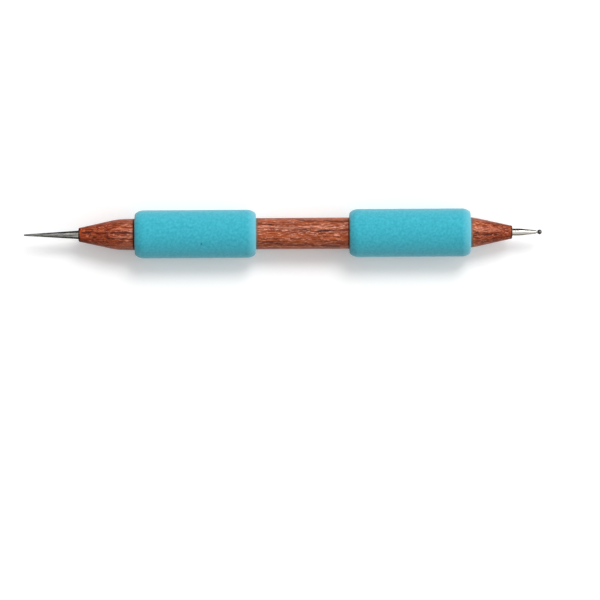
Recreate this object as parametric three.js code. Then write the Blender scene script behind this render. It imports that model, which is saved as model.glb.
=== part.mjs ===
// Double-ended pottery tool: a turned rosewood handle with a needle glued into one
// end, a ball stylus glued into the other, and two foam sleeves over its barrel.
// Millimetres, +Z up. The tool lies along X on its sleeves, with the needle at -X.

import * as THREE from "three";

// Handle: a barrel, and at each end a nose made of a cone and the arc that fairs it in
const handleLength = 138;
const barrelDiameter = 10;
const noseHalfAngle = 12.5;
const noseFairingRadius = 26;
const endEdgeRadius = 0.3;

// Each steel tip sits in a drilled blind hole, in a bed of glue
const needleEndWall = 0.68;
const ballEndWall = 0.78;
const glueWall = 0.2;
const glueBottom = 0.3;
const glueBeadHeight = 0.14;
const drillHalfAngle = 59;
const shankChamfer = 0.25;
const seatGap = 0.02;

// Needle: a ground cone outside the wood and a plain shank inside it
const needleReach = 17.5;
const needleShankDiameter = 2.7;
const needleShankDepth = 14;
const needlePointRadius = 0.24;

// Ball stylus: straight, then tapered, then a thin neck brazed into the ball
const stylusReach = 9.5;
const stylusShankDiameter = 2.25;
const stylusShankDepth = 12;
const stylusStraightLength = 2.4;
const stylusTaperEndDiameter = 1.1;
const neckDiameter = 0.64;
const neckLength = 0.3;
const neckShoulderLength = 0.12;
const ballDiameter = 1.6;
const ballSocketDepth = 0.35;

// Foam sleeves: the same sleeve twice, each set back from its own end of the handle
const sleeveLength = 38.6;
const sleeveDiameter = 15.4;
const sleeveBoreClearance = 0.05;
const sleeveEndLength = 2.8;
const sleeveEndFlat = 0.7;
const sleeveEndFullness = 1.8;
const sleeveMouthRadius = 0.35;
const needleSleeveSetback = 17.85;
const ballSleeveSetback = 13.2;

// Facets. All pieces share one turn, which puts a flat facet at the bottom of each
// sleeve for the tool to lie on and keeps the fits parallel.
const bodySides = 48;
const tipSides = 24;
const facetTurn = Math.PI / bodySides;
const edgeSteps = 3;
const fairingSteps = 6;
const sleeveEndSteps = 9;
const ballSteps = 12;

// Sizes that follow from those above
const overallLength = needleReach + handleLength + stylusReach;
const barrelRadius = barrelDiameter / 2;
const sleeveRadius = sleeveDiameter / 2;
const sleeveBoreRadius = barrelRadius + sleeveBoreClearance;
const axisHeight = sleeveRadius * Math.cos(facetTurn);
const ballRadius = ballDiameter / 2;
const ballCentre = -stylusReach + ballRadius;
const socketRadius = neckDiameter / 2 + seatGap;
const socketFloor = ballCentre + ballRadius - ballSocketDepth;
const stylusTaperEnd = ballCentre + ballRadius + neckLength;

const rosewood = finish(0x9c4f35, 0.5, 0);
const foam = finish(0x45b3c6, 0.85, 0);
const needleSteel = finish(0x8c8b86, 0.35, 0.9);
const stylusSteel = finish(0xc4c2bb, 0.2, 1);
const glue = finish(0xcdb583, 0.3, 0);

function finish(color, roughness, metalness) {
  return new THREE.MeshStandardMaterial({ color, roughness, metalness });
}

// A profile point at a distance along the tool's axis and a radius from it
function at(along, radius) {
  return new THREE.Vector2(radius, along);
}

// A circular arc in the profile, with angles from +X towards larger radii
function arc(along, radius, size, fromDegrees, toDegrees, steps) {
  const points = [];
  for (let i = 0; i <= steps; i += 1) {
    const degrees = THREE.MathUtils.lerp(fromDegrees, toDegrees, i / steps);
    const angle = THREE.MathUtils.degToRad(degrees);
    points.push(at(along + size * Math.cos(angle), radius + size * Math.sin(angle)));
  }
  return points;
}

// The same profile seen from the other end of a piece of the given length
function mirrored(profile, length) {
  return profile.map((point) => at(length - point.y, point.x)).reverse();
}

// A turned solid along +X from its profile
function revolve(profile, sides) {
  return new THREE.LatheGeometry(profile, sides, facetTurn).rotateZ(-Math.PI / 2);
}

function piece(name, geometry, material) {
  const mesh = new THREE.Mesh(geometry, material);
  mesh.name = name;
  return mesh;
}

// Length of the cone that a drill of this radius leaves at the bottom of its hole
function drillPoint(radius) {
  return radius / Math.tan(THREE.MathUtils.degToRad(drillHalfAngle));
}

// The hole drilled for a shank, from the drill point on the axis out to its mouth
function holeProfile(shankDiameter, shankDepth) {
  const radius = shankDiameter / 2 + glueWall;
  const depth = shankDepth + glueBottom;
  return [at(depth + drillPoint(radius), 0), at(depth, radius), at(0, radius)];
}

// The nose round a hole, from the end face's rounded edge to the start of the barrel
function noseProfile(shankDiameter, endWall) {
  const coneAngle = 90 + noseHalfAngle;
  const edgeCentre = shankDiameter / 2 + glueWall + endWall - endEdgeRadius;
  const edge = arc(endEdgeRadius, edgeCentre, endEdgeRadius, 180, coneAngle, edgeSteps);
  const coneStart = edge[edgeSteps];
  const slope = Math.tan(THREE.MathUtils.degToRad(noseHalfAngle));
  const coneMeetsBarrel = coneStart.y + (barrelRadius - coneStart.x) / slope;
  const halfTurn = THREE.MathUtils.degToRad(noseHalfAngle / 2);
  const barrelStart = coneMeetsBarrel + noseFairingRadius * Math.tan(halfTurn);
  const fairingCentre = barrelRadius - noseFairingRadius;
  return [
    ...edge,
    ...arc(barrelStart, fairingCentre, noseFairingRadius, coneAngle, 90, fairingSteps),
  ];
}

function handleGeometry() {
  const needleHalf = [
    ...holeProfile(needleShankDiameter, needleShankDepth),
    ...noseProfile(needleShankDiameter, needleEndWall),
  ];
  const ballHalf = [
    ...holeProfile(stylusShankDiameter, stylusShankDepth),
    ...noseProfile(stylusShankDiameter, ballEndWall),
  ];
  return revolve([...needleHalf, ...mirrored(ballHalf, handleLength)], bodySides);
}

// The cup of glue that fills the space between a hole and the shank in it, with
// the bead that stands out round the tip
function glueGeometry(shankDiameter, shankDepth) {
  const inner = shankDiameter / 2 + seatGap;
  const outer = shankDiameter / 2 + glueWall - seatGap;
  const bottom = shankDepth + glueBottom - seatGap;
  return revolve(
    [
      at(shankDepth + seatGap, 0),
      at(shankDepth + seatGap, inner),
      at(-glueBeadHeight, inner),
      at(-glueBeadHeight / 2, (inner + outer) / 2),
      at(0, outer),
      at(bottom, outer),
      at(bottom + drillPoint(outer), 0),
    ],
    tipSides,
  );
}

// The buried end of a steel tip, from the wood's face to its chamfered tail
function shankProfile(diameter, depth) {
  const radius = diameter / 2;
  return [
    at(0, radius),
    at(depth - shankChamfer, radius),
    at(depth, radius - shankChamfer),
    at(depth, 0),
  ];
}

function needleGeometry() {
  const taper = Math.asin((needleShankDiameter / 2 - needlePointRadius) / needleReach);
  const coneAngle = 90 + THREE.MathUtils.radToDeg(taper);
  const pointCentre = -needleReach + needlePointRadius;
  const point = arc(pointCentre, 0, needlePointRadius, 180, coneAngle, edgeSteps);
  return revolve([...point, ...shankProfile(needleShankDiameter, needleShankDepth)], tipSides);
}

function stylusShaftGeometry() {
  const neckEnd = socketFloor + seatGap;
  return revolve(
    [
      at(neckEnd, 0),
      at(neckEnd, neckDiameter / 2),
      at(stylusTaperEnd - neckShoulderLength, neckDiameter / 2),
      at(stylusTaperEnd, stylusTaperEndDiameter / 2),
      at(-stylusStraightLength, stylusShankDiameter / 2),
      ...shankProfile(stylusShankDiameter, stylusShankDepth),
    ],
    tipSides,
  );
}

// The ball, with the blind socket that its neck is brazed into
function ballGeometry() {
  const mouthAngle = THREE.MathUtils.radToDeg(Math.asin(socketRadius / ballRadius));
  const surface = arc(ballCentre, 0, ballRadius, 180, mouthAngle, ballSteps);
  return revolve([...surface, at(socketFloor, socketRadius), at(socketFloor, 0)], tipSides);
}

// One end of a sleeve: the bore's rounded mouth, the flat end ring, and the full
// rounding of the outer edge, which is a superellipse quarter
function sleeveEndProfile() {
  const mouthCentre = sleeveBoreRadius + sleeveMouthRadius;
  const outerDepth = sleeveRadius - mouthCentre - sleeveEndFlat;
  const points = arc(sleeveMouthRadius, mouthCentre, sleeveMouthRadius, 270, 180, edgeSteps);
  for (let i = 0; i <= sleeveEndSteps; i += 1) {
    const angle = (Math.PI / 2) * (i / sleeveEndSteps);
    const inward = 1 - Math.cos(angle) ** (2 / sleeveEndFullness);
    const drop = 1 - Math.sin(angle) ** (2 / sleeveEndFullness);
    points.push(at(sleeveEndLength * inward, sleeveRadius - outerDepth * drop));
  }
  return points;
}

function sleeveGeometry() {
  const end = sleeveEndProfile();
  return revolve([...end, ...mirrored(end, sleeveLength), end[0]], bodySides);
}

// Scene graph. In each end group +X points into the wood, with its face at zero.
const needleEnd = new THREE.Group();
const needleGlue = glueGeometry(needleShankDiameter, needleShankDepth);
needleEnd.add(piece("needle", needleGeometry(), needleSteel));
needleEnd.add(piece("needle_glue", needleGlue, glue));

const ballEnd = new THREE.Group();
const stylusGlue = glueGeometry(stylusShankDiameter, stylusShankDepth);
ballEnd.position.x = handleLength;
ballEnd.rotation.y = Math.PI;
ballEnd.add(piece("stylus_shaft", stylusShaftGeometry(), stylusSteel));
ballEnd.add(piece("stylus_ball", ballGeometry(), stylusSteel));
ballEnd.add(piece("stylus_glue", stylusGlue, glue));

const needleSleeve = piece("needle_side_grip", sleeveGeometry(), foam);
needleSleeve.position.x = needleSleeveSetback;

const ballSleeve = piece("ball_side_grip", sleeveGeometry(), foam);
ballSleeve.position.x = handleLength - ballSleeveSetback - sleeveLength;

const tool = new THREE.Group();
tool.position.set(needleReach - overallLength / 2, 0, axisHeight);
tool.add(piece("handle", handleGeometry(), rosewood));
tool.add(needleEnd, ballEnd, needleSleeve, ballSleeve);

const part = new THREE.Group();
part.add(tool);

export default part;
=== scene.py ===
import math

import bpy
from mathutils import Matrix, Vector


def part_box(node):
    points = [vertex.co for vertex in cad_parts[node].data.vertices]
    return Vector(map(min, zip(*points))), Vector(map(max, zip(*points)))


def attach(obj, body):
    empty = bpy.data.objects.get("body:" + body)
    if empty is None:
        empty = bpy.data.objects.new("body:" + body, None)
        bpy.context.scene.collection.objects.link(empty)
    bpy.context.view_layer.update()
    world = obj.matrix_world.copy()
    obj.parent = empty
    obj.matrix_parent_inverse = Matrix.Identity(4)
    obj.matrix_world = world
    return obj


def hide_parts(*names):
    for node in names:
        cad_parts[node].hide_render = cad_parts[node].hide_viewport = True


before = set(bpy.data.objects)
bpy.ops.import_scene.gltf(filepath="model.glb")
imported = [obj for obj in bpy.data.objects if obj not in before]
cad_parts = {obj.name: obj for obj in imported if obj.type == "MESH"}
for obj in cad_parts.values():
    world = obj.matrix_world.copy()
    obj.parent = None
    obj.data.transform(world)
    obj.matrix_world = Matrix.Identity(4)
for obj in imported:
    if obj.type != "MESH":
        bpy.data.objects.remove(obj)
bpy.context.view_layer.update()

mm = 0.001
scene = bpy.context.scene
scene.view_settings.view_transform = "Standard"

# The handle's box gives the ends of the wood, the barrel's radius and the tool's axis
woodLow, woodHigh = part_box("handle")
barrelRadius = (woodHigh.z - woodLow.z) / 2
axisHeight = (woodHigh.z + woodLow.z) / 2


# Helpers for node trees. An input is linked where it is a socket, and set where it is a value.
def add(tree, kind, inputs=None, **settings):
    node = tree.nodes.new(kind)
    for key, value in settings.items():
        setattr(node, key, value)
    for key, value in (inputs or {}).items():
        if isinstance(value, bpy.types.NodeSocket):
            tree.links.new(value, node.inputs[key])
        else:
            node.inputs[key].default_value = value
    return node


def calc(tree, operation, *values):
    return add(tree, "ShaderNodeMath", dict(enumerate(values)), operation=operation).outputs[0]


def vectorCalc(tree, operation, *values):
    inputs = dict(enumerate(values))
    return add(tree, "ShaderNodeVectorMath", inputs, operation=operation).outputs[0]


def vectorSize(tree, operation, *values):
    inputs = dict(enumerate(values))
    return add(tree, "ShaderNodeVectorMath", inputs, operation=operation).outputs["Value"]


def scaled(tree, vector, factor):
    inputs = {0: vector, "Scale": factor}
    return add(tree, "ShaderNodeVectorMath", inputs, operation="SCALE").outputs[0]


def separated(tree, vector):
    return add(tree, "ShaderNodeSeparateXYZ", {0: vector}).outputs


def noise(tree, where, scale, detail=2.0, roughness=0.5):
    inputs = {"Vector": where, "Scale": scale, "Detail": detail, "Roughness": roughness}
    return add(tree, "ShaderNodeTexNoise", inputs).outputs[0]


def spread(tree, value, low, high, toLow=0.0, toHigh=1.0, kind="LINEAR"):
    inputs = {"Value": value, "From Min": low, "From Max": high, "To Min": toLow, "To Max": toHigh}
    return add(tree, "ShaderNodeMapRange", inputs, interpolation_type=kind).outputs[0]


def mixColour(tree, share, first, second, blend="MIX"):
    inputs = {0: share, 6: first, 7: second}
    return add(tree, "ShaderNodeMix", inputs, data_type="RGBA", blend_type=blend).outputs[2]


# Geometry trees. Their inputs are named, and take their sockets' kinds from the values given.
socketKinds = {int: "NodeSocketInt", float: "NodeSocketFloat", tuple: "NodeSocketVector"}


def geometryTree(name, sizes):
    tree = bpy.data.node_groups.new(name, "GeometryNodeTree")
    face = tree.interface
    face.new_socket("Geometry", in_out="INPUT", socket_type="NodeSocketGeometry")
    face.new_socket("Geometry", in_out="OUTPUT", socket_type="NodeSocketGeometry")
    for label, value in sizes.items():
        socket = face.new_socket(label, in_out="INPUT", socket_type=socketKinds[type(value)])
        socket.default_value = value
    face.new_socket("Material", in_out="INPUT", socket_type="NodeSocketMaterial")
    return tree, add(tree, "NodeGroupInput").outputs


def moved(tree, geometry, key, value):
    inputs = {"Geometry": geometry, key: value}
    return add(tree, "GeometryNodeSetPosition", inputs).outputs[0]


# An attribute is a number at each point, unless the settings say otherwise
def stored(tree, geometry, name, value, **settings):
    inputs = {"Geometry": geometry, "Name": name, "Value": value}
    return add(tree, "GeometryNodeStoreNamedAttribute", inputs, **settings).outputs[0]


def recalled(tree, name):
    inputs = {"Name": name}
    return add(tree, "GeometryNodeInputNamedAttribute", inputs, data_type="FLOAT").outputs[0]


def sampled(tree, geometry, value, index, kind):
    inputs = {"Geometry": geometry, "Value": value, "Index": index}
    return add(tree, "GeometryNodeSampleIndex", inputs, data_type=kind).outputs[0]


# A grid with a row for each ring of a turned surface, one column more than it has sides,
# and the fields that say which ring a point is on and how far round the axis it is
def ringGrid(tree, rings, sides):
    columns = calc(tree, "ADD", sides, 1)
    inputs = {"Vertices X": rings, "Vertices Y": columns}
    mesh, uvMap = add(tree, "GeometryNodeMeshGrid", inputs).outputs
    mapped = stored(tree, mesh, "UVMap", uvMap, data_type="FLOAT2", domain="CORNER")
    index = add(tree, "GeometryNodeInputIndex").outputs[0]
    ring = calc(tree, "FLOOR", calc(tree, "DIVIDE", index, columns))
    column = calc(tree, "SUBTRACT", index, calc(tree, "MULTIPLY", ring, columns))
    angle = calc(tree, "MULTIPLY", calc(tree, "DIVIDE", column, sides), -2 * math.pi)
    return mapped, ring, angle


closingDistance = 0.0001 * mm
cornerAngle = math.radians(35)  # between faces, from which their edge stays sharp


# The grid rolled up round the tool's axis, with its seam and its poles closed
def rolledUp(tree, grid, along, radius, angle, axis):
    across = calc(tree, "MULTIPLY", radius, calc(tree, "COSINE", angle))
    height = calc(tree, "MULTIPLY_ADD", radius, calc(tree, "SINE", angle), axis)
    point = add(tree, "ShaderNodeCombineXYZ", {"X": along, "Y": across, "Z": height}).outputs[0]
    rolled = moved(tree, grid, "Position", point)
    inputs = {"Geometry": rolled, "Distance": closingDistance}
    return add(tree, "GeometryNodeMergeByDistance", inputs).outputs[0]


# Smooth faces with sharp corners kept, then the material
def endTree(tree, geometry, material):
    smooth = add(tree, "GeometryNodeSetShadeSmooth", {"Geometry": geometry, "Shade Smooth": True})
    bend = add(tree, "GeometryNodeInputMeshEdgeAngle").outputs["Unsigned Angle"]
    corners = add(
        tree,
        "GeometryNodeSetShadeSmooth",
        {
            "Geometry": smooth.outputs[0],
            "Selection": calc(tree, "GREATER_THAN", bend, cornerAngle),
            "Shade Smooth": False,
        },
        domain="EDGE",
    )
    real = add(tree, "GeometryNodeRealizeInstances", {"Geometry": corners.outputs[0]})
    inputs = {"Geometry": real.outputs[0], "Material": material}
    painted = add(tree, "GeometryNodeSetMaterial", inputs)
    add(tree, "NodeGroupOutput", {"Geometry": painted.outputs[0]})
    return tree


# A piece made by a tree: its inputs set by their identifiers, and its result kept as a mesh
def makePiece(name, tree, values, profile=()):
    mesh = bpy.data.meshes.new(name)
    steps = [(i, i + 1) for i in range(len(profile) - 1)]
    mesh.from_pydata([(along, radius, 0) for along, radius in profile], steps, [])
    piece = bpy.data.objects.new(name, mesh)
    scene.collection.objects.link(piece)
    modifier = piece.modifiers.new("shape", "NODES")
    modifier.node_group = tree
    for item in tree.interface.items_tree:
        if item.in_out == "INPUT" and item.name in values:
            modifier[item.identifier] = values[item.name]
    view = bpy.context.evaluated_depsgraph_get()
    made = bpy.data.meshes.new_from_object(
        piece.evaluated_get(view), preserve_all_data_layers=True, depsgraph=view
    )
    piece.modifiers.clear()
    piece.data = made
    made.name = name
    print("made", name, "with", len(made.polygons), "faces")
    return piece


# Which body a piece rides on, and which node it stands in for
def place(piece, body, node):
    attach(piece, body)
    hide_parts(node)


# Materials. Patterns read Object coordinates, which are the tool's own.
def newMaterial(name, fixed):
    material = bpy.data.materials.new(name)
    material.use_nodes = True
    tree = material.node_tree
    tree.nodes.clear()
    surface = add(tree, "ShaderNodeBsdfPrincipled", fixed)
    add(tree, "ShaderNodeOutputMaterial", {"Surface": surface.outputs[0]})
    return material, tree, surface


# Object coordinates in millimetres, stretched, turned or shifted
def millimetres(tree, stretch=(1, 1, 1), turn=(0, 0, 0), shift=(0, 0, 0)):
    inputs = {
        "Vector": add(tree, "ShaderNodeTexCoord").outputs["Object"],
        "Location": shift,
        "Rotation": turn,
        "Scale": [s / mm for s in stretch],
    }
    return add(tree, "ShaderNodeMapping", inputs).outputs[0]


def bumped(tree, height, strength, depth):
    inputs = {"Height": height, "Strength": strength, "Distance": depth}
    return add(tree, "ShaderNodeBump", inputs).outputs[0]


# Foam sleeves
foamLook = {
    "colour": (0.058, 0.495, 0.61, 1),
    "darkerColour": (0.035, 0.39, 0.5, 1),
    # Painted shade in the pits of the pores
    "poreColour": (0.006, 0.1, 0.15, 1),
    # Painted shade at the needle-side mouth
    "mouthShadeColour": (0.006, 0.009, 0.009, 1),
    # Painted sheen on the ball-side end
    "sheenPaintedColour": (0.15, 0.5, 0.61, 1),
    "mottleSize": 0.8,  # mm
    "mottleRange": (0.35, 0.65),  # of its noise, from the darker colour to the full one
    "cellSize": 0.28,  # mm
    "cellRange": (0.35, 0.05),  # of a cell, from its wall inwards
    "cellShade": 0.3,
    "cellDepth": 0.04 * mm,
    "cellBump": 0.45,
    "roughness": 0.85,
    "specular": 0.15,
    "sheen": 0.4,
    "sheenRoughness": 0.5,
}


def foamMaterial():
    fixed = {
        "Roughness": foamLook["roughness"],
        "Specular IOR Level": foamLook["specular"],
        "Sheen Weight": foamLook["sheen"],
        "Sheen Roughness": foamLook["sheenRoughness"],
    }
    material, tree, surface = newMaterial("turquoiseFoam", fixed)
    where = millimetres(tree)
    mottle = noise(tree, where, 1 / foamLook["mottleSize"], 3.0, 0.6)
    share = spread(tree, mottle, *foamLook["mottleRange"])
    colour = mixColour(tree, share, foamLook["darkerColour"], foamLook["colour"])
    inputs = {"Vector": where, "Scale": 1 / foamLook["cellSize"]}
    cells = add(tree, "ShaderNodeTexVoronoi", inputs, feature="SMOOTH_F1").outputs["Distance"]
    cellShare = spread(tree, cells, *foamLook["cellRange"], 0, foamLook["cellShade"])
    colour = mixColour(tree, cellShare, colour, foamLook["darkerColour"])
    # Pores are painted darker as shade in their pits, the ball-side end paler as painted sheen,
    # and the needle-side mouth black as painted shade
    for mark in ("pore", "sheenPainted", "mouthShade"):
        share = add(tree, "ShaderNodeAttribute", attribute_name=mark).outputs["Fac"]
        colour = mixColour(tree, share, colour, foamLook[mark + "Colour"])
    normal = bumped(tree, cells, foamLook["cellBump"], foamLook["cellDepth"])
    tree.links.new(colour, surface.inputs["Base Color"])
    tree.links.new(normal, surface.inputs["Normal"])
    return material


# What the two sleeves share, under the names of the tree's inputs
sleeveSizes = {
    "End Length": 2.8 * mm,
    "End Flat": 0.7 * mm,
    "End Fullness": 1.8,
    "Mouth Radius": 0.35 * mm,
    "Rings": 316,
    "Sides": 300,
    "Ripple Height": 0.035 * mm,
    "Ripple Length": 2.2 * mm,
    "Pore Density": 16000.0,  # in a square metre
    "Smallest Pore": 0.1 * mm,
    "Largest Pore": 0.2 * mm,
    "Pore Depth": 0.16 * mm,
    "Mouth Shade Width": 1.7 * mm,
    "Sheen Painted Length": 2.8 * mm,
    "Axis Height": axisHeight,
}
# What each sleeve sets for itself
ownSizes = {
    "Middle": 0.0,
    "Length": 38.6 * mm,
    "Outer Radius": 7.7 * mm,
    "Bore Radius": 5.05 * mm,
    "Open Pore": (0.0, 0.0, 0.0),
    "Open Pore Radius": 0.1 * mm,
    "Seed": 1,
}
boreClearance = 0.05 * mm
foamDetail = {
    "seedShift": 0.1,  # m that each step of the seed moves the noises
    "rippleRange": (0.25, 0.75),  # of its noise, from no depth to the whole
    "wholeSkin": 0.9,  # how whole the skin is wherever pores are scattered
    "mouthShadePatch": 1.4 * mm,
    "mouthShadeDepth": (1.2 * mm, 0.7 * mm),  # into the sleeve, where the painted shade ends and is still full
    "sheenPaintedFullLength": 0.3 * mm,
    "sheenPaintedShare": 0.75,
}
# Shares of the way from the middle of the outside to the middle of the bore: where the end,
# its flat ring, the mouth and the bore begin, and up to where the skin is whole
wayShares = {"end": 0.55, "skin": 0.7, "flat": 0.76, "mouth": 0.77, "bore": 0.82}


# The profile at a share of that way: how far along from the sleeve's middle, and its radius
def sleeveProfile(tree, size, share):
    outside = spread(tree, share, 0, wayShares["end"])
    end = spread(tree, share, wayShares["end"], wayShares["flat"], 0, math.pi / 2)
    flat = spread(tree, share, wayShares["flat"], wayShares["mouth"])
    mouth = spread(tree, share, wayShares["mouth"], wayShares["bore"], 0, math.pi / 2)
    bore = spread(tree, share, wayShares["bore"], 1)

    # The end is a quarter of a superellipse, and the mouth a quarter of a circle
    power = calc(tree, "DIVIDE", 2, size["End Fullness"])
    inward = calc(tree, "POWER", calc(tree, "SINE", end), power)
    drop = calc(tree, "SUBTRACT", 1, calc(tree, "POWER", calc(tree, "COSINE", end), power))
    half = calc(tree, "DIVIDE", size["Length"], 2)
    straight = calc(tree, "SUBTRACT", half, size["End Length"])
    mouthStart = calc(tree, "SUBTRACT", half, size["Mouth Radius"])
    mouthInward = calc(tree, "SUBTRACT", 1, calc(tree, "COSINE", mouth))
    wall = calc(tree, "SUBTRACT", size["Outer Radius"], size["Bore Radius"])
    depth = calc(tree, "SUBTRACT", wall, calc(tree, "ADD", size["Mouth Radius"], size["End Flat"]))

    along = calc(tree, "MULTIPLY", straight, outside)
    along = calc(tree, "MULTIPLY_ADD", size["End Length"], inward, along)
    mouthBack = calc(tree, "MULTIPLY", size["Mouth Radius"], mouthInward)
    along = calc(tree, "SUBTRACT", along, mouthBack)
    along = calc(tree, "SUBTRACT", along, calc(tree, "MULTIPLY", mouthStart, bore))
    radius = calc(tree, "SUBTRACT", size["Outer Radius"], calc(tree, "MULTIPLY", depth, drop))
    radius = calc(tree, "SUBTRACT", radius, calc(tree, "MULTIPLY", size["End Flat"], flat))
    mouthDrop = calc(tree, "MULTIPLY", size["Mouth Radius"], calc(tree, "SINE", mouth))
    return along, calc(tree, "SUBTRACT", radius, mouthDrop)


# Pores: small ones scattered by the seed, and one that broke open. The result is how much of
# a pore is at a place, and that pore's width as a share of the widest small one.
def poresAt(tree, foamMesh, size, position, skin):
    inputs = {
        "Mesh": foamMesh,
        "Selection": calc(tree, "GREATER_THAN", skin, foamDetail["wholeSkin"]),
        "Density": size["Pore Density"],
        "Seed": size["Seed"],
    }
    scattered = add(tree, "GeometryNodeDistributePointsOnFaces", inputs).outputs["Points"]
    inputs = {"Min": size["Smallest Pore"], "Max": size["Largest Pore"], "Seed": size["Seed"]}
    random = add(tree, "FunctionNodeRandomValue", inputs, data_type="FLOAT").outputs
    anyRadius = [socket for socket in random if socket.enabled][0]
    onePoint = add(tree, "GeometryNodePoints", {"Count": 1, "Position": size["Open Pore"]})
    small = stored(tree, scattered, "poreRadius", anyRadius)
    single = stored(tree, onePoint.outputs[0], "poreRadius", size["Open Pore Radius"])
    joined = add(tree, "GeometryNodeJoinGeometry", {"Geometry": small})
    tree.links.new(single, joined.inputs[0])
    pores = joined.outputs[0]

    nearest = add(tree, "GeometryNodeSampleNearest", {"Geometry": pores}).outputs[0]
    middle = sampled(tree, pores, position, nearest, "FLOAT_VECTOR")
    radius = sampled(tree, pores, recalled(tree, "poreRadius"), nearest, "FLOAT")
    away = vectorSize(tree, "DISTANCE", position, middle)
    hollow = spread(tree, away, radius, 0, 0, 1, "SMOOTHSTEP")
    hollow = calc(tree, "MULTIPLY", hollow, skin)
    return hollow, calc(tree, "DIVIDE", radius, size["Largest Pore"])


# Painted shade: a ragged black ring at the mouth of the end that faces the needle, standing for
# that end's shade. Painted sheen: the other end is painted paler where the light from the right
# falls.
def withPaintedShadeAndSheen(tree, foamMesh, size, position, noiseWhere):
    parts = separated(tree, position)
    half = calc(tree, "DIVIDE", size["Length"], 2)
    fromMiddle = calc(tree, "SUBTRACT", parts["X"], size["Middle"])
    fromNeedleEnd = calc(tree, "ADD", half, fromMiddle)
    fromBallEnd = calc(tree, "SUBTRACT", half, fromMiddle)
    upright = calc(tree, "SUBTRACT", parts["Z"], size["Axis Height"])
    outwards = add(tree, "ShaderNodeCombineXYZ", {"Y": parts["Y"], "Z": upright}).outputs[0]
    fromBore = calc(tree, "SUBTRACT", vectorSize(tree, "LENGTH", outwards), size["Bore Radius"])
    patches = noise(tree, noiseWhere, 1 / foamDetail["mouthShadePatch"], 3.0)
    patches = calc(tree, "SUBTRACT", patches, 0.5)
    fromBore = calc(tree, "MULTIPLY_ADD", patches, size["Mouth Shade Width"], fromBore)
    halfWidth = calc(tree, "MULTIPLY", size["Mouth Shade Width"], 0.5)
    # Painted shade: a ragged black ring round the bore at the needle-side end
    mouthShade = spread(tree, fromBore, size["Mouth Shade Width"], halfWidth)
    atEnd = spread(tree, fromNeedleEnd, *foamDetail["mouthShadeDepth"])
    mouthShaded = stored(tree, foamMesh, "mouthShade", calc(tree, "MULTIPLY", mouthShade, atEnd))
    # Painted sheen: the ball-side end is painted paler where the light from the right falls
    fullLength, share = foamDetail["sheenPaintedFullLength"], foamDetail["sheenPaintedShare"]
    sheenPainted = spread(tree, fromBallEnd, size["Sheen Painted Length"], fullLength, 0, share)
    return stored(tree, mouthShaded, "sheenPainted", sheenPainted)


# The sleeve's closed profile starts at the middle of its outside, goes over one end, back
# through the bore and over the other end. The two halves are alike, so the share of the
# way is folded in two and goes from 0 outside to 1 in the bore.
def sleeveTree():
    tree, size = geometryTree("foamSleeve", {**sleeveSizes, **ownSizes})
    grid, ring, angle = ringGrid(tree, size["Rings"], size["Sides"])
    last = calc(tree, "SUBTRACT", size["Rings"], 1)
    way = calc(tree, "MULTIPLY_ADD", calc(tree, "DIVIDE", ring, last), 2, -1)
    folded = calc(tree, "SUBTRACT", 1, calc(tree, "ABSOLUTE", way))
    side = calc(tree, "MULTIPLY", calc(tree, "SIGN", way), -1)
    along, radius = sleeveProfile(tree, size, folded)

    # The skin is what shows, so ripple and pores stay out of the bore
    skin = spread(tree, folded, wayShares["mouth"], wayShares["skin"])
    skinned = stored(tree, grid, "skin", skin)
    where = calc(tree, "MULTIPLY_ADD", along, side, size["Middle"])
    rolled = rolledUp(tree, skinned, where, radius, angle, size["Axis Height"])
    skin = recalled(tree, "skin")
    position = add(tree, "GeometryNodeInputPosition").outputs[0]
    normal = add(tree, "GeometryNodeInputNormal").outputs[0]

    # Ripple only takes foam away, so the sleeve stays inside its own size
    shift = calc(tree, "MULTIPLY", size["Seed"], foamDetail["seedShift"])
    shift = add(tree, "ShaderNodeCombineXYZ", {"X": shift}).outputs[0]
    noiseWhere = vectorCalc(tree, "ADD", position, shift)
    scale = calc(tree, "DIVIDE", 1, size["Ripple Length"])
    waves = noise(tree, noiseWhere, scale)
    waves = spread(tree, waves, *foamDetail["rippleRange"], 0, -1)
    waves = calc(tree, "MULTIPLY", waves, size["Ripple Height"])
    waves = calc(tree, "MULTIPLY", waves, skin)
    rippled = moved(tree, rolled, "Offset", scaled(tree, normal, waves))

    hollow, width = poresAt(tree, rippled, size, position, skin)
    marked = stored(tree, rippled, "pore", calc(tree, "MULTIPLY", hollow, width))
    sheenPainted = withPaintedShadeAndSheen(tree, marked, size, position, noiseWhere)
    sunk = calc(tree, "MULTIPLY", calc(tree, "MULTIPLY", hollow, size["Pore Depth"]), width)
    pits = scaled(tree, normal, calc(tree, "MULTIPLY", sunk, -1))
    return endTree(tree, moved(tree, sheenPainted, "Offset", pits), size["Material"])


foam = foamMaterial()
sleeves = sleeveTree()


def makeSleeve(name, node, body, seed, openPore, openPoreRadius):
    low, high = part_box(node)
    turn = math.radians(openPore[1])
    outerRadius = (high.z - low.z) / 2
    pore = Vector((openPore[0], outerRadius * math.sin(turn), outerRadius * math.cos(turn)))
    pore.z += axisHeight
    values = {
        "Middle": (low.x + high.x) / 2,
        "Length": high.x - low.x,
        "Outer Radius": outerRadius,
        "Bore Radius": barrelRadius + boreClearance,
        "Open Pore": pore,
        "Open Pore Radius": openPoreRadius,
        "Seed": seed,
        "Material": foam,
    }
    piece = makePiece(name, sleeves, values)
    place(piece, body, node)


# An open pore's place is a distance along the tool and an angle from the top, in degrees
makeSleeve(
    "needleSideSleeve", "needle_side_grip", "needle_sleeve", 3, (-25.9 * mm, -25), 0.34 * mm
)
makeSleeve("ballSideSleeve", "ball_side_grip", "ball_sleeve", 8, (48 * mm, 140), 0.24 * mm)


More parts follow.
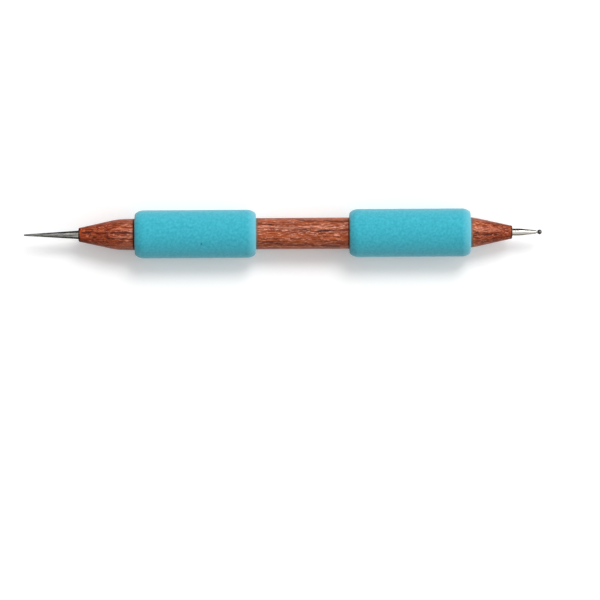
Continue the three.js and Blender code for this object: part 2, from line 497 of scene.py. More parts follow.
# Everything else is turned from a profile: points at a distance along the tool and a radius
def latheTree():
    tree, size = geometryTree("turnedFromProfile", {"Sides": 96, "Axis Height": axisHeight})
    profile = size["Geometry"]
    count = add(tree, "GeometryNodeAttributeDomainSize", {"Geometry": profile})
    grid, ring, angle = ringGrid(tree, count.outputs["Point Count"], size["Sides"])
    position = add(tree, "GeometryNodeInputPosition").outputs[0]
    parts = separated(tree, sampled(tree, profile, position, ring, "FLOAT_VECTOR"))
    rolled = rolledUp(tree, grid, parts["X"], parts["Y"], angle, size["Axis Height"])
    return endTree(tree, rolled, size["Material"])


lathe = latheTree()
arcSteps = {"edge": 8, "fairing": 20, "needlePoint": 8, "ball": 48, "glueBead": 8}


# An arc in a profile, with angles in degrees from +X towards larger radii
def arc(along, radius, size, start, end, steps):
    angles = [math.radians(start + (end - start) * i / steps) for i in range(steps + 1)]
    return [(along + size * math.cos(a), radius + size * math.sin(a)) for a in angles]


# The same profile with points added, so that no step is longer than given
def stepped(profile, longest):
    points = [profile[0]]
    for (x0, r0), (x1, r1) in zip(profile, profile[1:]):
        count = max(1, math.ceil(math.dist((x0, r0), (x1, r1)) / longest))
        points += [
            (x0 + (x1 - x0) * i / count, r0 + (r1 - r0) * i / count) for i in range(1, count + 1)
        ]
    return points


# A profile at one end of the wood, from depths into it to places along the tool
def atNeedleEnd(profile):
    return [(woodLow.x + depth, radius) for depth, radius in profile]


def atBallEnd(profile):
    return [(woodHigh.x - depth, radius) for depth, radius in reversed(profile)]


def boxRadius(node):
    low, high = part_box(node)
    return (high.z - low.z) / 2


# How deep into the wood each tip and each glue cup goes, and their radii, from the parts' boxes
needleLow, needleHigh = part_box("needle")
stylusLow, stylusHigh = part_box("stylus_shaft")
ballLow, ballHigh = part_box("stylus_ball")
needleGlueLow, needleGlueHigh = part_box("needle_glue")
stylusGlueLow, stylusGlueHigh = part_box("stylus_glue")

needleEnd = {
    "wall": 0.68 * mm,
    "shankRadius": boxRadius("needle"),
    "shankDepth": needleHigh.x - woodLow.x,
    "glueRadius": boxRadius("needle_glue"),
    "glueDepth": needleGlueHigh.x - woodLow.x,
    "beadHeight": woodLow.x - needleGlueLow.x,
}
ballEnd = {
    "wall": 0.78 * mm,
    "shankRadius": boxRadius("stylus_shaft"),
    "shankDepth": woodHigh.x - stylusLow.x,
    "glueRadius": boxRadius("stylus_glue"),
    "glueDepth": woodHigh.x - stylusGlueLow.x,
    "beadHeight": stylusGlueHigh.x - woodHigh.x,
}
seatGap = 0.02 * mm  # between a steel tip, its glue and the wood
drillSlope = math.tan(math.radians(59))


# Rosewood handle
woodSizes = {
    "noseHalfAngle": 12.5,
    "fairingRadius": 26 * mm,
    "edgeRadius": 0.3 * mm,
    "longestStep": 0.4 * mm,
    "sides": 160,
}
woodLook = {
    "light": (0.57, 0.148, 0.054, 1),
    "middle": (0.39, 0.072, 0.02, 1),
    "dark": (0.12, 0.015, 0.005, 1),
    "line": (0.06, 0.01, 0.007, 1),
    # Colour of the painted glints and painted highlight lines
    "highlightTint": (0.85, 0.37, 0.25, 1),
    "noseTint": (0.8, 0.53, 0.38, 1),
    "rim": (0.01, 0.005, 0.004, 1),
    # Painted shadow of each sleeve's needle-side end on the wood
    "sleeveShadow": (0.008, 0.008, 0.006, 1),
    "dust": (0.22, 0.215, 0.19, 1),
    # Painted shadow beyond each sleeve's ball-side end
    "shade": (0.09, 0.085, 0.075, 1),
    "specular": 0.18,
    "roughness": (0.32, 0.48),
    "bump": 0.7,
    "reliefDepth": 0.07 * mm,
    "poreShade": 0.65,
    "fleckRelief": 0.5,
}
# Places and lengths on the wood, in mm. A pair of places is where a layer begins and where
# it is full, and two shares after it say how strong it is at each.
woodPlaces = {
    "pith": (0, 14, 22),
    "waver": 3.0,
    "glintBandMiddle": 0.5,
    "glintBand": (3.6, 2.0, 0.5, 0.95),  # off that middle
    "flanks": (1.5, 3.5, 0.5, 0.9),
    "needleNose": (17, 9),  # from the end of the wood
    "ballNose": (12, 6),
    "ballNoseShare": 0.8,
    "rim": (0.35, 0.22),  # its length at the middle, and what each mm off it adds
    "sleeveShadows": {"needle_side_grip": 0.62, "ball_side_grip": 0.4},
    "dust": 0.5,
    "shade": 1.0,
    "raggedness": 0.6,
    "underSleeve": 0.1,
    "softEdge": 0.2,
    "softShade": 0.5,
}
fibreTurn = (0, 0, math.radians(4))  # between the fibres and the tool's axis
grainWeights = {"fibres": 0.7, "curls": 0.5}
ringNoise = {"Scale": 1.1, "Detail": 3.0, "Roughness": 0.65}
# The grain's noises: changes in each mm along the fibres and across them, detail, roughness
woodNoises = {
    "waver": (0.03, 0.25, 2.0, 0.5),
    "fibres": (0.08, 3, 4.0, 0.6),
    "curls": (0.45, 2.3, 3.0, 0.65),
    "pores": (0.3, 4.6, 1.0, 0.5),
    "flecks": (0.5, 3.3, 2.0, 0.7),
    "shift": (0.3, 0.4, 3.0, 0.5),
    "dashes": (0.5, 1.6, 2.0, 0.6),
}
# From which value of its noise a layer begins and where it is full, and how strong at each
woodShares = {
    "rings": (0.32, 0.68),
    "light": (0.55, 0.76),
    "dark": (0.57, 0.45, 0, 0.85),
    "pores": (0.6, 0.72),
    "flecks": (0.53, 0.66),
    "dashes": (0.4, 0.5, 0.2, 1),
    "rim": (0.35, 0.6, 1, 0.7),
    "dust": (0.38, 0.58, 1, 0.6),
    "roughness": (0.4, 0.8),
}

# Dark growth lines cut the stick as upright sheets. Each runs from one place to another,
# given along and across the tool, and has half a width, all in mm, and a strength.
growthLines = (
    ((-8.4, 3.3), (-3.2, 2.7), 0.36, 0.95),
    ((-4.5, 3.1), (5.5, 3.25), 0.7, 0.4),
    ((4, 4.4), (7.5, 3.9), 0.34, 0.9),
    ((7.5, 3.9), (21, 3.8), 0.45, 0.8),
    ((5, 1.1), (9.4, 1.1), 0.28, 0.95),
    ((10.8, 0.9), (15.6, 0.88), 0.45, 0.95),
    ((16.4, 1.15), (21, 1.1), 0.25, 0.8),
    ((-8.4, -2.5), (3.3, -3.85), 0.35, 0.85),
    ((3.3, -3.85), (8, -3.5), 0.3, 0.6),
    ((9, -4), (18, -4.1), 0.35, 0.8),
    ((-64, 0.65), (-47, 0.35), 0.36, 0.95),
    ((-61.8, -1), (-59.2, -1.1), 0.4, 0.85),
    ((-64.5, -1.5), (-58, -2), 0.85, 0.35),
    ((-56, -1.25), (-47.5, -1.4), 0.3, 0.75),
    ((-52, -2.45), (-51.1, -2.5), 0.4, 0.8),
    ((-57, -3.3), (-54.5, -3.5), 0.3, 0.7),
    ((61, -0.4), (67, -0.75), 0.5, 0.9),
    ((67, -0.8), (73, -1.25), 0.55, 0.95),
    ((64, 2.9), (70, 2.1), 0.3, 0.5),
    ((61, -2.2), (70, -1.9), 1.1, 0.4),
)
# Pale lines painted as highlight on the upper face, where the lamp's highlight falls, given as the
# growth lines are
paintedHighlightLines = (
    ((-8, 2.3), (-1, 2), 0.4, 0.6),
    ((-1, 1.8), (5, 1.9), 0.5, 0.3),
    ((5, 1.95), (21, 1.85), 0.5, 0.4),
    ((-60.5, 1.35), (-56.5, 1.3), 0.3, 0.5),
    ((-54, -0.8), (-47.5, -0.75), 0.25, 0.6),
    ((-54, 1.7), (-48, 1.3), 0.45, 0.4),
    ((61, 0.95), (70, 0.75), 1.0, 0.4),
)
lineCore = 0.3  # share of a line's half width that is solid
lineFade = 0.4  # mm, on both sides of a line's end


def holeProfile(end):
    radius = end["glueRadius"] + seatGap
    depth = end["glueDepth"] + seatGap
    return [(depth, 0), (depth - radius / drillSlope, radius), (0, radius)]


# From the rounded edge of the end face, up the cone, and round the fairing to the barrel
def noseProfile(end):
    halfAngle = woodSizes["noseHalfAngle"]
    coneAngle = 90 + halfAngle
    slope = math.tan(math.radians(halfAngle))
    edgeRadius = woodSizes["edgeRadius"]
    faceRadius = end["glueRadius"] + seatGap + end["wall"]
    edge = arc(edgeRadius, faceRadius - edgeRadius, edgeRadius, 180, coneAngle, arcSteps["edge"])
    coneStart, coneRadius = edge[-1]
    corner = coneStart + (barrelRadius - coneRadius) / slope
    size = woodSizes["fairingRadius"]
    barrelStart = corner + size * math.tan(math.radians(halfAngle / 2))
    steps = arcSteps["fairing"]
    return edge + arc(barrelStart, barrelRadius - size, size, coneAngle, 90, steps)


def handleProfile():
    needleHalf = holeProfile(needleEnd) + noseProfile(needleEnd)
    ballHalf = holeProfile(ballEnd) + noseProfile(ballEnd)
    return atNeedleEnd(needleHalf) + atBallEnd(ballHalf)


# How much of one line, and of the strongest of several lines, is at a place
def lineShare(tree, along, across, line):
    (startAlong, startAcross), (endAlong, endAcross), halfWidth, strength = line
    middle = spread(tree, along, startAlong, endAlong, startAcross, endAcross)
    away = calc(tree, "ABSOLUTE", calc(tree, "SUBTRACT", across, middle))
    share = spread(tree, away, halfWidth, lineCore * halfWidth, 0, strength, "SMOOTHSTEP")
    begins = spread(tree, along, startAlong - lineFade, startAlong + lineFade)
    ends = spread(tree, along, endAlong + lineFade, endAlong - lineFade)
    return calc(tree, "MULTIPLY", share, calc(tree, "MULTIPLY", begins, ends))


def linesShare(tree, along, across, lines):
    share = 0.0
    for line in lines:
        share = calc(tree, "MAXIMUM", share, lineShare(tree, along, across, line))
    return share


# A band round the wood, solid from one place along the tool to another, with soft edges
def bandRound(tree, along, start, end, soft):
    begins = spread(tree, along, start - soft, start)
    return calc(tree, "MULTIPLY", begins, spread(tree, along, end + soft, end))


def woodNoise(tree, name):
    along, across, detail, roughness = woodNoises[name]
    where = millimetres(tree, (along, across, across), fibreTurn)
    return noise(tree, where, 1.0, detail, roughness)


# Growth rings: bands round a pith that lies well outside the stick, wavering along it
def growthRings(tree):
    parts = separated(tree, millimetres(tree, (1, 1, 1), fibreTurn, woodPlaces["pith"]))
    flatLog = add(tree, "ShaderNodeCombineXYZ", {"Y": parts["Y"], "Z": parts["Z"]}).outputs[0]
    fromPith = vectorSize(tree, "LENGTH", flatLog)
    waver = woodNoise(tree, "waver")
    fromPith = calc(tree, "MULTIPLY_ADD", waver, woodPlaces["waver"], fromPith)
    inputs = {"W": fromPith, **ringNoise}
    rings = add(tree, "ShaderNodeTexNoise", inputs, noise_dimensions="1D").outputs[0]
    return spread(tree, rings, *woodShares["rings"])


# The noses have taken up more oil, and their end edges are darker, more so towards the sides
def noseColour(tree, colour, along, offMiddle, curls):
    low, high = woodLow.x / mm, woodHigh.x / mm
    begins, full = woodPlaces["needleNose"]
    needleNose = spread(tree, along, low + begins, low + full)
    begins, full = woodPlaces["ballNose"]
    ballNose = spread(tree, along, high - begins, high - full, 0, woodPlaces["ballNoseShare"])
    oiled = calc(tree, "ADD", needleNose, ballNose)
    colour = mixColour(tree, oiled, colour, woodLook["noseTint"], "MULTIPLY")
    shortest, slant = woodPlaces["rim"]
    rimLength = calc(tree, "MULTIPLY_ADD", offMiddle, slant, shortest)
    fromLow = calc(tree, "SUBTRACT", along, low)
    fromHigh = calc(tree, "SUBTRACT", high, along)
    fromEnd = calc(tree, "MINIMUM", fromLow, fromHigh)
    rims = spread(tree, fromEnd, rimLength, calc(tree, "MULTIPLY", rimLength, 0.5))
    rims = calc(tree, "MULTIPLY", rims, spread(tree, curls, *woodShares["rim"]))
    return mixColour(tree, rims, colour, woodLook["rim"])


# A black ring is painted on the wood where each sleeve's needle side ends, as painted shadow of
# the sleeve, and at its other side a thin line of dust and a ragged band of painted shadow
def sleeveMarks(tree, colour, along, offMiddle, curls):
    uneven = calc(tree, "SUBTRACT", curls, 0.5)
    ragged = calc(tree, "MULTIPLY_ADD", uneven, woodPlaces["raggedness"], along)
    flanks = spread(tree, offMiddle, *woodPlaces["flanks"])
    soft, softShade = woodPlaces["softEdge"], woodPlaces["softShade"]
    under = woodPlaces["underSleeve"]
    for node, sleeveShadowLength in woodPlaces["sleeveShadows"].items():
        sleeveLow, sleeveHigh = (corner.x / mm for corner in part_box(node))
        # Painted shadow: a ragged dark band beyond each sleeve's ball-side end, stronger towards
        # the sides
        shadeEnd = sleeveHigh + woodPlaces["shade"] - softShade
        shade = bandRound(tree, ragged, sleeveHigh, shadeEnd, softShade)
        shade = calc(tree, "MULTIPLY", shade, flanks)
        colour = mixColour(tree, shade, colour, woodLook["shade"])
        dustEnd = sleeveHigh + woodPlaces["dust"] - soft
        dust = bandRound(tree, ragged, sleeveHigh - under, dustEnd, soft)
        dust = calc(tree, "MULTIPLY", dust, spread(tree, curls, *woodShares["dust"]))
        colour = mixColour(tree, dust, colour, woodLook["dust"])
        # Painted shadow: a black ring on the wood at each sleeve's needle-side end
        sleeveShadow = bandRound(tree, ragged, sleeveLow - sleeveShadowLength + soft, sleeveLow + under, soft)
        colour = mixColour(tree, sleeveShadow, colour, woodLook["sleeveShadow"])
    return colour


def rosewoodMaterial():
    fixed = {"Specular IOR Level": woodLook["specular"]}
    material, tree, surface = newMaterial("oiledRosewood", fixed)
    parts = separated(tree, millimetres(tree))
    offMiddle = calc(tree, "SUBTRACT", parts["Y"], woodPlaces["glintBandMiddle"])
    offMiddle = calc(tree, "ABSOLUTE", offMiddle)

    # Fibres and pores run along the stick, and the grain is interlocked, which curls them
    fibres = calc(tree, "MULTIPLY", woodNoise(tree, "fibres"), grainWeights["fibres"])
    curls = woodNoise(tree, "curls")
    grain = calc(tree, "MULTIPLY_ADD", curls, grainWeights["curls"], fibres)
    pores = spread(tree, woodNoise(tree, "pores"), *woodShares["pores"])
    flecks = woodNoise(tree, "flecks")
    flecks = spread(tree, flecks, *woodShares["flecks"], kind="SMOOTHSTEP")
    colour = mixColour(tree, growthRings(tree), woodLook["dark"], woodLook["middle"])
    for layer in ("light", "dark"):
        share = spread(tree, grain, *woodShares[layer])
        colour = mixColour(tree, share, colour, woodLook[layer])
    # Painted glints: pale flecks painted in a band on the upper face, where the lamp's highlight
    # falls
    glintBand = calc(tree, "MULTIPLY", flecks, spread(tree, offMiddle, *woodPlaces["glintBand"]))
    colour = mixColour(tree, glintBand, colour, woodLook["highlightTint"])

    # The growth lines waver, and break up into dashes
    shift = calc(tree, "SUBTRACT", woodNoise(tree, "shift"), 0.5)
    across = calc(tree, "ADD", shift, parts["Y"])
    dashes = spread(tree, woodNoise(tree, "dashes"), *woodShares["dashes"])
    # Painted highlight: pale lines on the upper face
    paintedHighlight = calc(tree, "MULTIPLY", linesShare(tree, parts["X"], across, paintedHighlightLines), dashes)
    colour = mixColour(tree, paintedHighlight, colour, woodLook["highlightTint"])
    lines = calc(tree, "MULTIPLY", linesShare(tree, parts["X"], across, growthLines), dashes)
    marks = calc(tree, "MAXIMUM", lines, calc(tree, "MULTIPLY", pores, woodLook["poreShade"]))
    colour = mixColour(tree, marks, colour, woodLook["line"])

    colour = noseColour(tree, colour, parts["X"], offMiddle, curls)
    colour = sleeveMarks(tree, colour, parts["X"], offMiddle, curls)
    relief = calc(tree, "MULTIPLY_ADD", flecks, woodLook["fleckRelief"], grain)
    relief = calc(tree, "SUBTRACT", relief, marks)
    roughness = spread(tree, grain, *woodShares["roughness"], *woodLook["roughness"])
    tree.links.new(colour, surface.inputs["Base Color"])
    tree.links.new(roughness, surface.inputs["Roughness"])
    normal = bumped(tree, relief, woodLook["bump"], woodLook["reliefDepth"])
    tree.links.new(normal, surface.inputs["Normal"])
    return material


handle = makePiece(
    "turnedHandle",
    lathe,
    {"Sides": woodSizes["sides"], "Material": rosewoodMaterial()},
    stepped(handleProfile(), woodSizes["longestStep"]),
)
place(handle, "tool", "handle")


# Steel. Both tips were drawn and ground along their length, which leaves fine lines.
needleLook = {
    "light": (0.5, 0.49, 0.46, 1),
    "dark": (0.1, 0.098, 0.09, 1),
    "darkLine": (0.035, 0.034, 0.03, 1),
    "darkLineBreaks": (0.3, 0.9, 1, 0.45),  # as the wood's shares, with the streaks
    "tipShade": 0.2,
    "tipLength": 5.0,  # mm
    "roughness": (0.2, 0.35),
    "grain": (0.12, 5, 5),  # changes in each mm
}
# Dark lines along the needle, partly grinding marks and partly painted reflections of dark
# surroundings, given as the wood's growth lines are
groundAndReflectionLines = (
    ((-79, -0.12), (-65, -0.22), 0.17, 0.9),
    ((-74, 0.5), (-65.5, 0.85), 0.14, 0.8),
    ((-76, -0.42), (-66, -0.85), 0.16, 0.85),
)
stylusLook = {
    "light": (0.74, 0.73, 0.69, 1),
    "dark": (0.5, 0.48, 0.43, 1),
    "roughness": (0.14, 0.22),
    "grain": (0.2, 4, 4),
}
ballLook = {
    "light": (0.08, 0.075, 0.07, 1),
    "dark": (0.02, 0.019, 0.018, 1),
    # The bright side is partly polish and partly a painted highlight
    "polished": (0.5, 0.49, 0.47, 1),
    "polishedFrom": (0.05, 0.4),  # mm outwards from the ball's middle
    "highlightLean": 0.4,  # how much each mm towards the far side counts as outwards, which leans the painted highlight towards the far side
    "roughness": (0.06, 0.12),
    "grain": (2, 2, 2),
}
steelLook = {
    "streaks": (0.35, 0.65),
    "roughness": (0.3, 0.7),
    "bump": 0.3,
    "lineDepth": 0.01 * mm,
}


# The needle's thin end is dulled by clay and handling, and dark lines run along it, partly
# grinding marks and partly painted reflections
def needleWearAndReflections(tree, colour, streaks):
    parts = separated(tree, millimetres(tree))
    tip = needleLow.x / mm
    dullEnd = tip + needleLook["tipLength"]
    shade = spread(tree, parts["X"], tip, dullEnd, needleLook["tipShade"], 1)
    colour = mixColour(tree, 1.0, colour, shade, "MULTIPLY")
    lines = linesShare(tree, parts["X"], parts["Y"], groundAndReflectionLines)
    lines = calc(tree, "MULTIPLY", lines, spread(tree, streaks, *needleLook["darkLineBreaks"]))
    return mixColour(tree, lines, colour, needleLook["darkLine"])


# The braze's heat blackened the ball round its neck, and its outer side is bright, partly polished
# by use and partly a painted highlight that leans towards the far side
def ballWearAndHighlight(tree, colour, streaks):
    parts = separated(tree, millimetres(tree))
    outwards = calc(tree, "SUBTRACT", parts["X"], (ballLow.x + ballHigh.x) / 2 / mm)
    outwards = calc(tree, "MULTIPLY_ADD", parts["Y"], ballLook["highlightLean"], outwards)
    polished = spread(tree, outwards, *ballLook["polishedFrom"])
    return mixColour(tree, polished, colour, ballLook["polished"])


def steelMaterial(name, look, wear=None):
    material, tree, surface = newMaterial(name, {"Metallic": 1.0})
    lines = noise(tree, millimetres(tree, look["grain"]), 1.0, 3.0, 0.6)
    streaks = spread(tree, lines, *steelLook["streaks"])
    colour = mixColour(tree, streaks, look["dark"], look["light"])
    if wear:
        colour = wear(tree, colour, streaks)
    roughness = spread(tree, lines, *steelLook["roughness"], *look["roughness"])
    normal = bumped(tree, lines, steelLook["bump"], steelLook["lineDepth"])
    tree.links.new(colour, surface.inputs["Base Color"])
    tree.links.new(roughness, surface.inputs["Roughness"])
    tree.links.new(normal, surface.inputs["Normal"])
    return material


needleSizes = {"pointRadius": 0.24 * mm, "longestStep": 0.3 * mm, "sides": 96}
shankChamfer = 0.25 * mm


def shankProfile(end):
    depth, radius = end["shankDepth"], end["shankRadius"]
    chamfer = [(depth - shankChamfer, radius), (depth, radius - shankChamfer)]
    return [(0, radius)] + chamfer + [(depth, 0)]


def needleProfile():
    reach = woodLow.x - needleLow.x
    pointRadius = needleSizes["pointRadius"]
    taper = math.degrees(math.asin((needleEnd["shankRadius"] - pointRadius) / reach))
    steps = arcSteps["needlePoint"]
    point = arc(pointRadius - reach, 0, pointRadius, 180, 90 + taper, steps)
    return atNeedleEnd(point + shankProfile(needleEnd))


needle = makePiece(
    "groundNeedle",
    lathe,
    {
        "Sides": needleSizes["sides"],
        "Material": steelMaterial("dullNeedleSteel", needleLook, needleWearAndReflections),
    },
    stepped(needleProfile(), needleSizes["longestStep"]),
)
place(needle, "tool", "needle")

stylusSizes = {
    "straightLength": 2.4 * mm,
    "taperEndRadius": 0.55 * mm,
    "neckRadius": 0.32 * mm,
    "neckLength": 0.3 * mm,
    "shoulderLength": 0.12 * mm,
    "socketDepth": 0.35 * mm,
    "longestStep": 0.25 * mm,
    "sides": 96,
}


# The shaft's depths are negative outside the wood, and the ball lies outermost
def stylusProfile():
    size = stylusSizes
    neckEnd = woodHigh.x - stylusHigh.x
    taperEnd = woodHigh.x - ballLow.x + size["neckLength"]
    neck = size["neckRadius"]
    tip = [
        (neckEnd, 0),
        (neckEnd, neck),
        (taperEnd - size["shoulderLength"], neck),
        (taperEnd, size["taperEndRadius"]),
        (-size["straightLength"], ballEnd["shankRadius"]),
    ]
    return atBallEnd(tip + shankProfile(ballEnd))


def ballProfile():
    radius = (ballHigh.x - ballLow.x) / 2
    middle = (ballHigh.x + ballLow.x) / 2
    socket = stylusSizes["neckRadius"] + seatGap
    socketFloor = ballLow.x + stylusSizes["socketDepth"]
    mouth = 180 - math.degrees(math.asin(socket / radius))
    outside = arc(middle, 0, radius, mouth, 0, arcSteps["ball"])
    return [(socketFloor, 0), (socketFloor, socket)] + outside


stylus = makePiece(
    "stylusShaft",
    lathe,
    {
        "Sides": stylusSizes["sides"],
        "Material": steelMaterial("polishedStylusSteel", stylusLook),
    },
    stepped(stylusProfile(), stylusSizes["longestStep"]),
)
place(stylus, "tool", "stylus_shaft")

ball = makePiece(
    "stylusBall",
    lathe,
    {
        "Sides": stylusSizes["sides"],
        "Material": steelMaterial("brazedBallSteel", ballLook, ballWearAndHighlight),
    },
    ballProfile(),
)
place(ball, "tool", "stylus_ball")


# Cured glue: a cup round each shank, with a rounded bead where it was wiped at the mouth
glueSizes = {"longestStep": 1 * mm, "sides": 64}
glueLook = {
    "light": (0.36, 0.24, 0.11, 1),
    "dark": (0.12, 0.065, 0.03, 1),
    "cloudsPerMillimetre": 1.6,
    "cloudRange": (0.35, 0.65),
    "roughness": 0.22,
    "subsurface": 0.2,
    "subsurfaceDepth": 0.3 * mm,
    "bump": 0.2,
    "waveDepth": 0.03 * mm,
}


def glueMaterial():
    fixed = {
        "Roughness": glueLook["roughness"],
        "Subsurface Weight": glueLook["subsurface"],
        "Subsurface Scale": glueLook["subsurfaceDepth"],
    }
    material, tree, surface = newMaterial("amberEpoxy", fixed)
    clouds = noise(tree, millimetres(tree), glueLook["cloudsPerMillimetre"], 3.0)
    share = spread(tree, clouds, *glueLook["cloudRange"])
    colour = mixColour(tree, share, glueLook["dark"], glueLook["light"])
    normal = bumped(tree, clouds, glueLook["bump"], glueLook["waveDepth"])
    tree.links.new(colour, surface.inputs["Base Color"])
    tree.links.new(normal, surface.inputs["Normal"])
    return material


def glueProfile(end):
    inner = end["shankRadius"] + seatGap
    outer = end["glueRadius"]
    floor = end["shankDepth"] + seatGap
    steps = arcSteps["glueBead"]
    bead = []
    for i in range(steps + 1):
        angle = math.pi / 2 * i / steps
        beadRadius = inner + (outer - inner) * math.sin(angle)
        bead.append((-end["beadHeight"] * math.cos(angle), beadRadius))
    tail = [(end["glueDepth"] - outer / drillSlope, outer), (end["glueDepth"], 0)]
    return [(floor, 0), (floor, inner)] + bead + tail


epoxy = glueMaterial()
for name, node, profile in (
    ("needleGlueCup", "needle_glue", atNeedleEnd(glueProfile(needleEnd))),
    ("stylusGlueCup", "stylus_glue", atBallEnd(glueProfile(ballEnd))),
):
    values = {"Sides": glueSizes["sides"], "Material": epoxy}
    cup = makePiece(name, lathe, values, stepped(profile, glueSizes["longestStep"]))
    place(cup, "tool", node)


# Studio: a pale table, soft light that is strongest from above and from the right, a broad
# lamp up there on the far side, and dark cards round the tool that only gloss shows
studio = {
    "floorSide": 4.0,  # m
    "floorColour": (0.95, 0.95, 0.95, 1),
    "floorSpecular": 0.1,
    "sheetRoughness": 0.9,  # of the table, the cards and the flags
    "floorGlow": 0.15,  # brings the table in view to white
    "fill": 0.555,
    "fillFromAbove": (0.35, 1.325),  # of the fill, at the horizon and overhead
    "fillFromRight": 0.7,
    "fillFromFar": 0.22,
    "lampShare": 0.38,  # of the light that falls on the floor
    "lampLean": (0.26, 0.64),  # how far it stands to the right and to the far side
    "lampWidth": math.radians(22),
    "lampGloss": 0.45,  # how much of it gloss shows
    "cardDistance": 65 * mm,
    "cardHeight": 42 * mm,
    "cardColour": (0.02, 0.02, 0.02, 1),
    "nearCardColour": (0.3, 0.28, 0.25, 1),
    "flagColour": (0.02, 0.02, 0.02, 1),
    "nearFlagColour": (0.5, 0.47, 0.42, 1),
    "flagHeight": 1 * mm,
    "flagGap": 4 * mm,
}


# What a camera sees, or sees in metal or glass
def seenRay(tree):
    ray = add(tree, "ShaderNodeLightPath").outputs
    seen = calc(tree, "MAXIMUM", ray["Is Camera Ray"], ray["Is Glossy Ray"])
    return calc(tree, "MAXIMUM", seen, ray["Is Transmission Ray"])


def stageSheet(name, corners, colour, specular):
    fixed = {
        "Base Color": colour,
        "Roughness": studio["sheetRoughness"],
        "Specular IOR Level": specular,
        "Emission Color": (1, 1, 1, 1),
    }
    mesh = bpy.data.meshes.new(name)
    mesh.from_pydata(corners, [], [(0, 1, 2, 3)])
    sheet = bpy.data.objects.new(name, mesh)
    scene.collection.objects.link(sheet)
    material, tree, surface = newMaterial(name, fixed)
    mesh.materials.append(material)
    return sheet, tree, surface


def buildFloor():
    half = studio["floorSide"] / 2
    corners = [(-half, -half, 0), (half, -half, 0), (half, half, 0), (-half, half, 0)]
    colour, specular = studio["floorColour"], studio["floorSpecular"]
    _, tree, surface = stageSheet("paleTable", corners, colour, specular)
    glow = calc(tree, "MULTIPLY", seenRay(tree), studio["floorGlow"])
    tree.links.new(glow, surface.inputs["Emission Strength"])


def glossOnlySheet(name, corners, colour):
    card = stageSheet(name, corners, colour, 0.0)[0]
    card.visible_camera = False
    card.visible_diffuse = False
    card.visible_transmission = False
    card.visible_volume_scatter = False
    card.visible_shadow = False


# Upright cards stand all round the tool, and flat ones lie on both sides of each steel tip
def buildCards():
    endX = woodHigh.x + studio["cardDistance"]
    sideY = studio["cardDistance"]
    top = studio["cardHeight"]
    corners = [(-endX, -sideY), (endX, -sideY), (endX, sideY), (-endX, sideY)]
    colours = [studio["nearCardColour"]] + 3 * [studio["cardColour"]]
    for i, colour in enumerate(colours):
        (x0, y0), (x1, y1) = corners[i], corners[(i + 1) % 4]
        sheet = [(x0, y0, 0), (x1, y1, 0), (x1, y1, top), (x0, y0, top)]
        glossOnlySheet(f"darkCard{i + 1}", sheet, colour)
    gap, z = studio["flagGap"], studio["flagHeight"]
    flags = (
        ("farNeedleFlag", (-endX, woodLow.x), (gap, sideY), studio["flagColour"]),
        ("nearNeedleFlag", (-endX, woodLow.x), (-sideY, -gap), studio["flagColour"]),
        ("farStylusFlag", (woodHigh.x, endX), (gap, sideY), studio["flagColour"]),
        ("nearStylusFlag", (woodHigh.x, endX), (-sideY, -gap), studio["nearFlagColour"]),
    )
    for name, (x0, x1), (y0, y1), colour in flags:
        sheet = [(x0, y0, z), (x1, y0, z), (x1, y1, z), (x0, y1, z)]
        glossOnlySheet(name, sheet, colour)


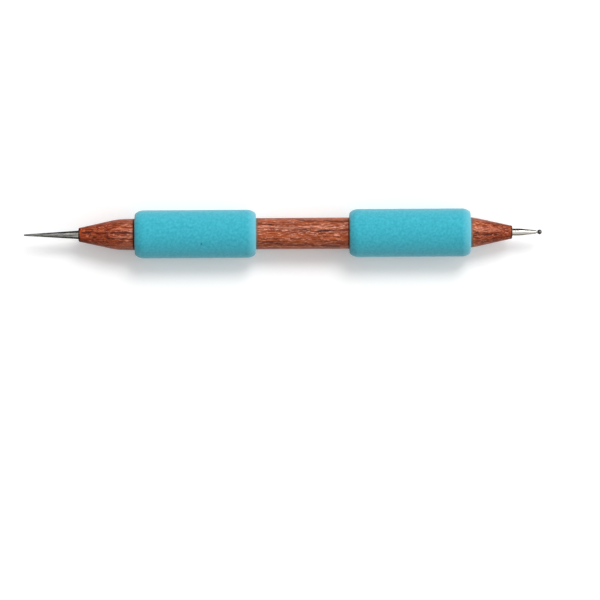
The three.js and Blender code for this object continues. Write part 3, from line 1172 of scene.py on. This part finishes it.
def buildWorld():
    world = bpy.data.worlds.new("studioLight")
    scene.world = world
    world.use_nodes = True
    tree = world.node_tree
    tree.nodes.clear()
    direction = add(tree, "ShaderNodeTexCoord").outputs["Generated"]
    parts = separated(tree, direction)
    above = spread(tree, parts["Z"], 0, 1, *studio["fillFromAbove"])
    sideways = calc(tree, "MULTIPLY_ADD", parts["X"], studio["fillFromRight"], 1)
    sideways = calc(tree, "MULTIPLY_ADD", parts["Y"], studio["fillFromFar"], sideways)
    sideways = calc(tree, "MULTIPLY", sideways, calc(tree, "ABSOLUTE", sideways))
    sideways = calc(tree, "MAXIMUM", sideways, 0)
    strength = calc(tree, "MULTIPLY", calc(tree, "MULTIPLY", above, sideways), studio["fill"])
    fill = {"Color": (1, 1, 1, 1), "Strength": strength}
    white = {"Color": (1, 1, 1, 1), "Strength": 1.0}
    inputs = {
        0: seenRay(tree),
        1: add(tree, "ShaderNodeBackground", fill).outputs[0],
        2: add(tree, "ShaderNodeBackground", white).outputs[0],
    }
    mixed = add(tree, "ShaderNodeMixShader", inputs)
    add(tree, "ShaderNodeOutputWorld", {"Surface": mixed.outputs[0]})


# One lamp in two halves: one lights surfaces, and the other, weaker one shows in their gloss
def buildLamp(name, share):
    toLamp = Vector((*studio["lampLean"], 1)).normalized()
    lamp = bpy.data.lights.new(name, "SUN")
    lamp.energy = share * studio["lampShare"] * math.pi / toLamp.z
    lamp.angle = studio["lampWidth"]
    holder = bpy.data.objects.new(name, lamp)
    holder.rotation_euler = toLamp.to_track_quat("Z", "Y").to_euler()
    scene.collection.objects.link(holder)
    return holder


# The photograph looks straight down. Its pixel size is at the tool's axis.
photograph = {
    "side": 600,  # pixels
    "pixelSize": 0.3184 * mm,
    "toolMiddle": (282.8, 233.55),  # pixels, from the left and from the top
    "toolTurn": math.radians(0.36),  # the right-hand end lies higher
    "lens": 360,  # mm
    "sensor": 36,  # mm
}


def buildCamera():
    half = photograph["side"] / 2
    right, down = (half - p for p in photograph["toolMiddle"])
    turn = -photograph["toolTurn"]
    offset = Matrix.Rotation(turn, 2) @ Vector((right, -down)) * photograph["pixelSize"]
    width = photograph["side"] * photograph["pixelSize"]
    data = bpy.data.cameras.new("fromAbove")
    data.lens = photograph["lens"]
    data.sensor_width = photograph["sensor"]
    camera = bpy.data.objects.new("fromAbove", data)
    distance = width * data.lens / data.sensor_width
    camera.location = (offset.x, offset.y, axisHeight + distance)
    camera.rotation_euler = (0, 0, turn)
    scene.collection.objects.link(camera)
    scene.camera = camera


buildFloor()
buildCards()
buildWorld()
buildLamp("broadLamp", 1.0).visible_glossy = False
buildLamp("glossLamp", studio["lampGloss"]).visible_diffuse = False
buildCamera()
print("studio built")
